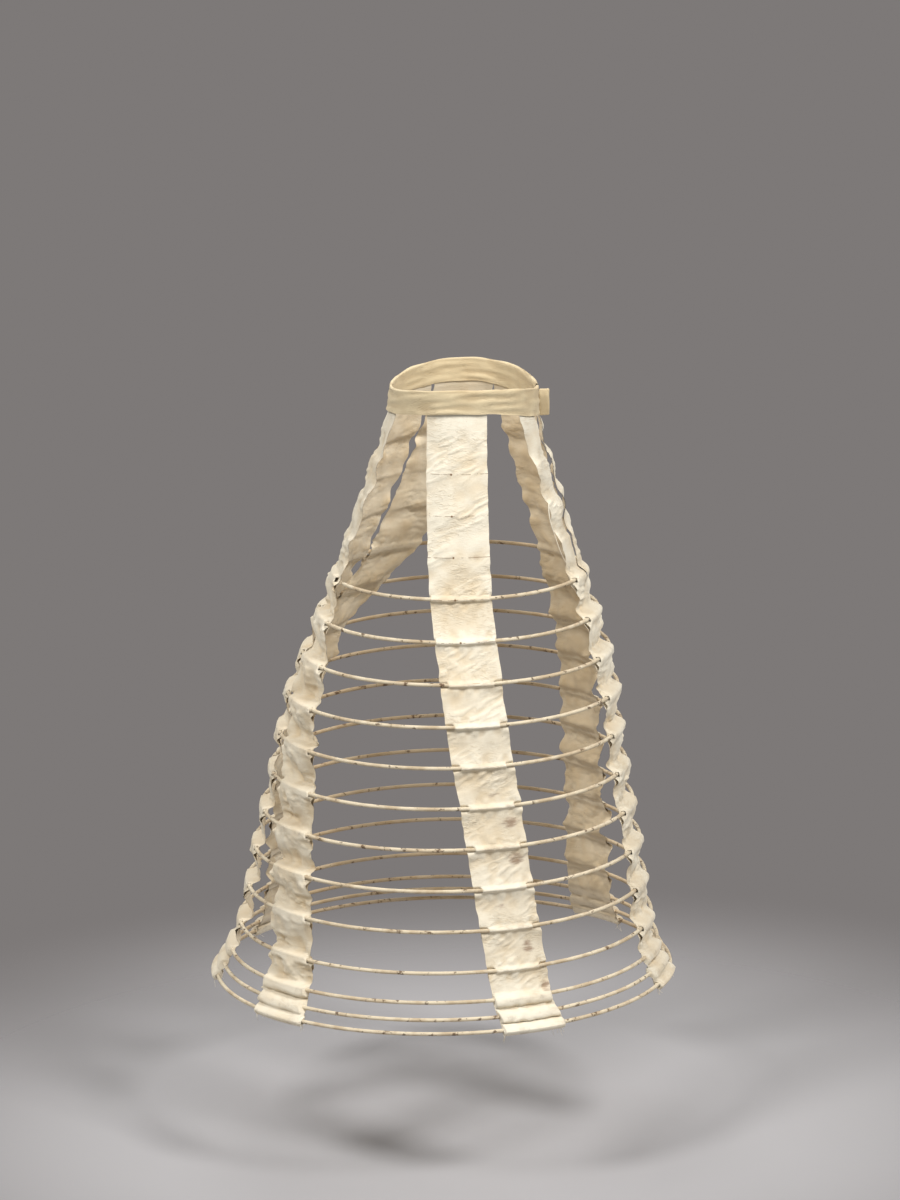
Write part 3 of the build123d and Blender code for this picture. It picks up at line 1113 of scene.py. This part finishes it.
@dataclass
class Frays:
    """Loose fibres at the broken hoop, at the hems and along the front tape's slit."""

    cage: Cage
    tapes: list[Tape]
    seed: int = 5
    steps: int = 9
    fibres: int = 16
    fibre_radius: float = 0.00028
    fibre_reach: Pair = (0.005, 0.017)
    fibre_spray: Pair = (0.0005, 0.0034)
    fibre_root: float = 0.002
    fibre_core: float = 0.0006
    fibre_flare: float = 1.6
    fibre_sag: float = 0.002
    threads: int = 5
    thread_radius: float = 0.0003
    thread_side: Pair = (0.92, 1.0)
    thread_out: Pair = (-0.003, 0.005)
    thread_drop: Pair = (0.001, 0.0055)
    thread_hang: Pair = (0.004, 0.013)
    thread_swing: float = 0.003
    thread_bend: float = 0.002
    strand_radius: float = 0.0008
    strand_ends: Pair = (-0.132, -0.212)
    strand_steps: int = 30
    strand_bow: float = 0.0062
    strand_ripple: float = 0.0012
    strand_wave: float = 9.0
    strand_arch: float = 0.8
    strand_out: Pair = (0.0016, 0.003)

    def broken_end(self) -> list[Array]:
        """Fibres that fan out of the near broken end.

        Returns:
            Their points.
        """
        dice = np.random.default_rng(self.seed)
        share = np.linspace(0.0, 1.0, self.steps)
        start, hoop = math.radians(BREAK_DEG[0]), self.cage.radii[0]
        paths = []
        for _ in range(self.fibres):
            reach = dice.uniform(*self.fibre_reach)
            spin = dice.uniform(0.0, FULL_TURN)
            fan = self.fibre_core + dice.uniform(*self.fibre_spray) * share**self.fibre_flare
            angle = start + (share * reach - self.fibre_root) / hoop
            rise = math.sin(spin) * fan - self.fibre_sag * share**2 * dice.uniform(0.0, 1.0)
            radius = hoop + math.cos(spin) * fan
            x = self.cage.centres[0] + radius * np.cos(angle)
            z = self.cage.heights[0] + rise
            paths.append(np.stack([x, -radius * np.sin(angle), z], axis=-1))
        return paths

    def hem_threads(self) -> list[Array]:
        """Short threads that hang from the ends of the rolled hems.

        Returns:
            Their points.
        """
        dice = np.random.default_rng(self.seed + 1)
        share = np.linspace(0.0, 1.0, self.steps)[:, None]
        paths = []
        for tape in self.tapes:
            for side in (-1.0, 1.0):
                for _ in range(self.threads):
                    place = side * dice.uniform(*self.thread_side)
                    root = tape.corner(self.cage, place, dice.uniform(*self.thread_out))
                    root = root - np.array([0.0, 0.0, dice.uniform(*self.thread_drop)])
                    swing = [dice.normal(0.0, self.thread_swing) for _ in range(2)]
                    fall = np.array([*swing, -dice.uniform(*self.thread_hang)])
                    swing = [dice.normal(0.0, self.thread_swing) for _ in range(2)]
                    bend = np.array([*swing, self.thread_bend])
                    paths.append(root + fall * share + bend * share * (1 - share) * 2)
        return paths

    def slit_strand(self) -> list[Array]:
        """The strand that has come away from the near strip of the front tape.

        Returns:
            Its points.
        """
        tape = self.tapes[0]
        z = np.linspace(*self.strand_ends, self.strand_steps)
        share = np.linspace(0.0, 1.0, self.strand_steps)
        arch = np.sin(math.pi * share)
        middle = tape.middle(self.cage, z)
        _, radius = self.cage.ring(middle, z)
        foot = tape.slit_foot(self.cage)
        spread = tape.slit_width * (z - foot) / (self.cage.foot(middle[0]) - foot) / 2
        ripple = self.strand_ripple * np.sin(self.strand_wave * share)
        away = self.strand_bow * arch**self.strand_arch + ripple
        angle = middle + (tape.width / 2 + spread + away) / radius
        start, sunk = self.strand_out
        return [self.cage.place(angle, z, start - sunk * arch)]

    def dress(self, thread: Material, cloth: Material) -> None:
        """Build the fibres and finish them.

        Args:
            thread: the material of the hoops' covering.
            cloth: the material of the tapes.
        """
        fibres = strands_mesh("broken_hoop_fibres", self.broken_end(), self.fibre_radius)
        threads = strands_mesh("hem_threads", self.hem_threads(), self.thread_radius)
        strand = strands_mesh("slit_strand", self.slit_strand(), self.strand_radius)
        dress(fibres, thread)
        dress(threads, cloth)
        dress(strand, cloth)


@dataclass
class Hoop:
    """One wire hoop in its wound covering."""

    number: int
    height: float
    centre: float
    radius: float
    wire: float
    segments: int = 320
    sides: int = 12
    bump_size: float = 0.012
    unevenness: float = 0.0004
    taper: float = 0.03
    tip: float = 0.45

    def build(self) -> Piece:
        """Make the hoop from a ring, open it if it is broken, and roughen it.

        Returns:
            The hoop.
        """
        bpy.ops.object.select_all(action="DESELECT")
        bpy.ops.mesh.primitive_torus_add(
            major_segments=self.segments,
            minor_segments=self.sides,
            major_radius=self.radius,
            minor_radius=self.wire,
            location=(self.centre, 0.0, self.height),
            generate_uvs=True,
        )
        hoop = bpy.context.object
        hoop.name = hoop.data.name = f"hoop_{self.number:02d}_wound"
        bpy.ops.object.transform_apply(location=True, rotation=True, scale=True)
        if self.number == 1:
            self.part(hoop)
        roughen(hoop, self.bump_size, self.unevenness)
        return hoop

    def part(self, hoop: Piece) -> None:
        """Cut out the length between the two broken ends and draw the ends to a taper.

        Args:
            hoop: the whole hoop.
        """
        start, end = (math.radians(a) for a in BREAK_DEG)
        bpy.ops.object.mode_set(mode="EDIT")
        bpy.ops.mesh.select_mode(type="VERT")
        bpy.ops.mesh.select_all(action="DESELECT")
        bpy.ops.object.mode_set(mode="OBJECT")
        for vertex in hoop.data.vertices:
            angle = math.atan2(-vertex.co.y, vertex.co.x - self.centre)
            vertex.select = start < angle < end
            away = max(start - angle, angle - end)
            if 0 <= away < self.taper:
                share = self.tip + (1 - self.tip) * away / self.taper
                x = self.centre + self.radius * math.cos(angle)
                spine = Vector((x, -self.radius * math.sin(angle), self.height))
                vertex.co = spine + (vertex.co - spine) * share
        bpy.ops.object.mode_set(mode="EDIT")
        bpy.ops.mesh.delete(type="VERT")
        bpy.ops.mesh.select_all(action="DESELECT")
        bpy.ops.mesh.select_non_manifold()
        bpy.ops.mesh.edge_face_add()
        bpy.ops.object.mode_set(mode="OBJECT")

    def dress(self, material: Material) -> None:
        """Build the hoop and finish it."""
        piece = dress(self.build(), material)
        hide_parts(f"hoop_{self.number:02d}")


@dataclass
class Waistband:
    """A strip folded over the tapes' tops, with its turned-out end."""

    cage: Cage
    spread: float = 0.0021
    ends_deg: Pair = (0.6, 355.4)
    mean_radius: float = 0.096
    side_rows: int = 26
    fold_rows: int = 9
    columns: int = 380
    crease: float = 0.00045
    crease_limits: Pair = (-1.0, 2.4)
    crease_shares: Pair = (0.9, 0.5)
    fray: float = 0.006
    fray_reach: float = 0.07
    lip_wave: float = 0.00022
    flat_width: float = 0.072
    flat_length: float = 0.60
    raised: float = 0.0045
    raised_from: Pair = (0.2, 0.9)
    front_drop: float = 0.004
    # Painted shade in the wrinkles' hollows: the depth of a full one and its share.
    shade_depth: float = 1.6
    shade_share: float = 0.6
    tab_depth: float = 0.0125
    tab_thickness: float = 0.0034
    tab_short: float = 0.001
    tab_left: float = 0.0088
    tab_level: float = -0.022
    tab_round: float = 0.0014
    tab_bump_size: float = 0.009
    tab_bump: float = 0.0012
    seed: int = 71

    def build(self) -> Piece:
        """Make the folded strip.

        Returns:
            The sheet.
        """
        half = self.cage.band_height / 2
        crown = half - self.spread
        climb = (crown + half) * np.linspace(0.0, 1.0, self.side_rows)
        fold = np.linspace(0.0, math.pi, self.fold_rows)[1:-1]
        apart = np.full(self.side_rows, self.spread)
        level = np.concatenate([-half + climb, crown + self.spread * np.sin(fold), crown - climb])
        out = np.concatenate([apart, self.spread * np.cos(fold), -apart])
        angles = np.radians(np.linspace(*self.ends_deg, self.columns))
        angle, z = np.meshgrid(angles, level)
        way = angle * self.mean_radius
        still = np.zeros_like(way)
        ragged = Wrinkle.BAND_FRAY.heights(self.seed, still, z)
        frayed = 1 - smooth(0.0, self.fray_reach, angle - angles[0])
        angle = angle + self.fray * ragged * frayed
        fine, broad = self.crease_shares
        wrinkle = Wrinkle.BAND_FINE.heights(self.seed, way, z) * fine
        wrinkle = wrinkle + Wrinkle.BAND_BROAD.heights(self.seed, way, z) * broad
        lip = np.clip(np.abs(z) / half, 0.0, 1.0) ** 6
        wavy = Wrinkle.BAND_EDGE.heights(self.seed, still, way)
        offset = np.broadcast_to(out[:, None], z.shape)
        offset = offset + np.sign(offset) * self.crease * np.clip(wrinkle, *self.crease_limits)
        behind = 1 - smooth(*self.raised_from, np.cos(angle))
        shorter = z + self.raised * behind * (crown - z) / (crown + half)
        height = shorter + self.lip_wave * lip * wavy - self.cage.dip * np.cos(angle) ** 2
        height = height - self.front_drop * np.clip(np.cos(angle), 0.0, 1.0) ** 6
        points = self.cage.place(angle, height, offset)
        # Painted shade in the hollows of the band's wrinkles.
        hollow = np.clip(-wrinkle / self.shade_depth, 0.0, 1.0) * self.shade_share
        along = np.concatenate([[0.0], np.cumsum(np.hypot(np.diff(out), np.diff(level)))])
        flat = np.stack(np.broadcast_arrays(way, along[:, None]), axis=-1)
        keep = np.ones((len(level) - 1, len(angles) - 1), dtype=bool)
        return sheet_mesh("waistband_cloth", points, keep, flat, {"hollow": hollow})

    def build_tab(self) -> Piece:
        """Make the turned-out end from a block, rounded and creased.

        Returns:
            The tab.
        """
        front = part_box("waistband")[1].x
        tall = self.cage.band_height - self.tab_short
        middle = (front - self.tab_depth / 2, self.tab_left, self.tab_level)
        bpy.ops.object.select_all(action="DESELECT")
        bpy.ops.mesh.primitive_cube_add(size=1.0, location=middle)
        tab = bpy.context.object
        tab.name = "waistband_tab"
        tab.scale = (self.tab_depth, self.tab_thickness, tall)
        bpy.ops.object.transform_apply(location=True, rotation=True, scale=True)
        bpy.ops.object.mode_set(mode="EDIT")
        bpy.ops.mesh.select_all(action="SELECT")
        bpy.ops.mesh.bevel(offset=self.tab_round, segments=3, affect="EDGES")
        bpy.ops.mesh.select_all(action="SELECT")
        bpy.ops.mesh.subdivide(number_cuts=3)
        bpy.ops.object.mode_set(mode="OBJECT")
        roughen(tab, self.tab_bump_size, self.tab_bump)
        return tab

    def dress(self, material: Material) -> None:
        """Build the band and its tab and finish them.

        Args:
            material: the band's material.
        """
        piece = dress(self.build(), material)
        tab = dress(self.build_tab(), material)
        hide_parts("waistband")


@dataclass
class Studio:
    """The floor, the light and the camera; a lamp has a name, a place, a size and a power."""

    floor_height: float = -0.94
    floor_radius: float = 3.2
    floor_sides: int = 96
    floor_clouds: Patch = Patch(3.0, 2.0, 0.0, 1.0, 0.08)
    fade: Pair = (0.35, 1.05)
    floor_colour: Colour = (0.38, 0.367, 0.37)
    backdrop: Colour = (0.205, 0.191, 0.187)
    sky: Colour = (1.0, 0.99, 0.97)
    ambient: float = 0.34
    lamps: tuple[tuple[str, Triple, float, float], ...] = (
        ("key", (2.7, -2.6, 3.8), 1.4, 238.0),
        ("fill", (-2.4, -2.3, 3.7), 1.4, 155.0),
        ("back", (-0.6, 3.0, 2.6), 2.4, 55.0),
    )
    lit: Triple = (-0.02, 0.0, -0.36)
    eye: Triple = (-0.0217, -6.6604, 1.3649)
    pitch_deg: float = 13.767
    roll: float = -0.0173173
    focal_px: float = 5575.1
    frame_px: float = 1200.0
    sensor: float = 36.0

    def build_floor(self) -> None:
        """A pale round floor that fades into the backdrop."""
        bpy.ops.object.select_all(action="DESELECT")
        bpy.ops.mesh.primitive_circle_add(
            vertices=self.floor_sides,
            radius=self.floor_radius,
            fill_type="NGON",
            location=(0.0, 0.0, self.floor_height),
        )
        floor = bpy.context.object
        floor.name = "studio_floor"
        graph = Graph("studio_floor")
        middle = {0: graph.coords.outputs["Object"]}
        apart = graph.node("VectorMath", middle, operation="LENGTH")
        gone = graph.ease(apart.outputs["Value"], *self.fade)
        grain = graph.cloud(self.floor_clouds)
        colour = graph.cover(self.floor_colour, grain, self.floor_clouds.share, self.backdrop)
        graph.surface(colour, Roughness=0.9)
        graph.feed(graph.shader.inputs["Alpha"], graph.rest(gone))
        floor.data.materials.append(graph.material)

    def build_light(self) -> None:
        """Even studio light from broad lamps, and a backdrop that is seen but lights no cloth."""
        world = bpy.data.worlds.new("studio")
        bpy.context.scene.world = world
        world.use_nodes = True
        nodes, links = world.node_tree.nodes, world.node_tree.links
        nodes.clear()
        path = nodes.new("ShaderNodeLightPath")
        seen = path.outputs["Is Camera Ray"]
        for ray in ("Is Glossy Ray", "Is Transmission Ray"):
            either = nodes.new("ShaderNodeMath")
            either.operation = "MAXIMUM"
            links.new(seen, either.inputs[0])
            links.new(path.outputs[ray], either.inputs[1])
            seen = either.outputs[0]
        mix = nodes.new("ShaderNodeMixShader")
        links.new(seen, mix.inputs[0])
        sources = ((self.sky, self.ambient), (self.backdrop, 1.0))
        for socket, (colour, strength) in zip(mix.inputs[1:], sources):
            source = nodes.new("ShaderNodeBackground")
            source.inputs["Color"].default_value = (*colour, 1.0)
            source.inputs["Strength"].default_value = strength
            links.new(source.outputs[0], socket)
        output = nodes.new("ShaderNodeOutputWorld")
        links.new(mix.outputs[0], output.inputs[0])
        for lamp in self.lamps:
            self.build_lamp(*lamp)

    def build_lamp(self, name: str, place: Triple, size: float, power: float) -> None:
        """One broad lamp that faces the part.

        Args:
            name: the lamp's name.
            place: where it is.
            size: its width in metres.
            power: its power in watts.
        """
        data = bpy.data.lights.new(name, "AREA")
        data.shape = "DISK"
        data.size = size
        data.energy = power
        lamp = bpy.data.objects.new(name, data)
        lamp.location = place
        aim = Vector(self.lit) - Vector(place)
        lamp.rotation_euler = aim.to_track_quat("-Z", "Y").to_euler()
        bpy.context.scene.collection.objects.link(lamp)

    def build_camera(self) -> None:
        """The camera at the fitted place, pitch and roll."""
        data = bpy.data.cameras.new("camera")
        data.sensor_width = self.sensor
        data.lens = self.focal_px / self.frame_px * self.sensor
        camera = bpy.data.objects.new("camera", data)
        pitch = math.radians(self.pitch_deg)
        level = Vector((1.0, 0.0, 0.0))
        rise = Vector((0.0, math.sin(pitch), math.cos(pitch)))
        back = Vector((0.0, -math.cos(pitch), math.sin(pitch)))
        right = level * math.cos(self.roll) + rise * math.sin(self.roll)
        up = rise * math.cos(self.roll) - level * math.sin(self.roll)
        turn = Matrix((right, up, back)).transposed()
        camera.matrix_world = Matrix.Translation(self.eye) @ turn.to_4x4()
        bpy.context.scene.collection.objects.link(camera)
        bpy.context.scene.camera = camera

    def build(self) -> None:
        """Set the whole studio up."""
        self.build_floor()
        self.build_light()
        self.build_camera()
        bpy.context.scene.view_settings.view_transform = "Standard"


def side_tape(path_deg: tuple[float, ...]) -> Tape:
    """The flat tape on the wearer's right, with its own channels, creases and stains.

    Args:
        path_deg: its path.

    Returns:
        The tape.
    """
    return Tape(
        *("right_front_tape", path_deg, 0.0026, 0.0010, 0.00046, 0.0004),
        *(Hang.STRETCHED, 23, 0.86, 0.1, Fold.SLACK),
        stains=(
            (-0.022, -0.492, 0.018, 0.009, 1.0),
            (-0.021, -0.536, 0.015, 0.012, 1.0),
            (-0.018, -0.642, 0.012, 0.014, 0.95),
            (-0.032, -0.691, 0.010, 0.010, 1.0),
            (0.010, -0.590, 0.018, 0.009, 0.7),
            (-0.004, -0.458, 0.020, 0.006, 0.75),
        ),
        stitched=True,
        dent=0.00035,
        narrow=0.0,
        sway=0.0002,
        edge_ease=0.0,
        channel_lift=0.0009,
        channel_reach=0.0052,
        channel_crease=0.8,
        crease_lean=0.4,
        crease_shade=0.85,
        eyelet_inset=0.0095,
        edge_hoops=2,
        hem_shift=-0.003,
        outer_step=0.0009,
        outer_columns=76,
        upper_calm=1.0,
    )


def tapes() -> list[Tape]:
    """The six tapes, from the front round by the wearer's right.

    Returns:
        The tapes.
    """
    gathered, shingled = Hang.GATHERED, Fold.SHINGLED
    front = (12.5, 12.0, 14.0, 12.0, 14.0)
    right_front = (96.0, 89.5, 84.5, 76.5, 68.0)
    right_back = (176.0, 177.5, 161.0, 149.0, 135.0)
    centre_back = (224.1, 207.5, 186.0, 177.0, 181.0)
    left_back = (270.2, 237.5, 210.5, 204.0, 220.0)
    left_front = (314.7, 325.0, 323.5, 322.0, 315.0)
    return [
        Tape(
            *("front_tape", front, 0.0068, 0.0035, 0.0008, 0.0014, gathered, 11, 0.90, 0.12),
            slit_width=0.030,
            edge_ease=0.05,
            uneven=0.3,
            slant=0.1,
            far_eyelets=False,
            channel_lift=0.003,
            channel_reach=0.0125,
        ),
        side_tape(right_front),
        Tape(
            *("right_back_tape", right_back, 0.0118, 0.0035, 0.0009, 0.0016),
            *(gathered, 37, 0.96, 0.32, shingled),
            hem_shift=0.003,
        ),
        Tape(
            *("centre_back_tape", centre_back, 0.0118, 0.0030, 0.0009, 0.0016),
            *(gathered, 41, 0.97, 0.34, shingled),
        ),
        Tape(
            *("left_back_tape", left_back, 0.0085, 0.0020, 0.0009, 0.0014),
            *(gathered, 53, 0.93, 0.35, shingled),
        ),
        Tape(
            *("left_front_tape", left_front, 0.0105, 0.0020, 0.0008, 0.0012),
            *(gathered, 67, 0.90, 0.7),
            edge_ease=0.1,
            uneven=0.5,
        ),
    ]


def main() -> None:
    """Build the part's pieces in order and set them in the studio."""
    logging.basicConfig(level=logging.INFO)
    cage = Cage.from_solids()
    tape_cloth = ClothFinish(
        "tape_cotton",
        fresh=(0.89, 0.825, 0.68),
        aged_and_shade=(0.68, 0.52, 0.31),
        stain=(0.24, 0.13, 0.075),
        rust=(0.20, 0.11, 0.05),
        pitch=0.0009,
        sewn=True,
    ).material()
    band_cloth = ClothFinish(
        "band_cotton",
        fresh=(0.74, 0.61, 0.39),
        aged_and_shade=(0.55, 0.40, 0.22),
        stain=(0.22, 0.12, 0.06),
        rust=(0.30, 0.18, 0.09),
        pitch=0.0008,
        sewn=False,
    ).material()
    covering = HoopFinish(
        "hoop_covering",
        straw=(0.82, 0.71, 0.52),
        brown=(0.42, 0.28, 0.14),
        rust=(0.10, 0.045, 0.02),
    ).material()
    wire = WireFinish(
        "fastener_wire", metal=(0.42, 0.33, 0.18), bloom=(0.13, 0.08, 0.04)
    ).material()
    Waistband(cage).dress(band_cloth)
    for node in ("waist_hook", "waist_eye"):
        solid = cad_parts[node]
        solid.data.materials.clear()
        solid.data.materials.append(wire)
        log.info("node %s", node)
    places = zip(cage.heights, cage.centres, cage.radii)
    for number, place in enumerate(places, 1):
        Hoop(number, *(float(value) for value in place), cage.wire).dress(covering)
    strips = tapes()
    for tape in strips:
        tape.dress(cage, tape_cloth)
    Frays(cage, strips).dress(covering, tape_cloth)
    Studio().build()


if __name__ == "__main__":
    main()
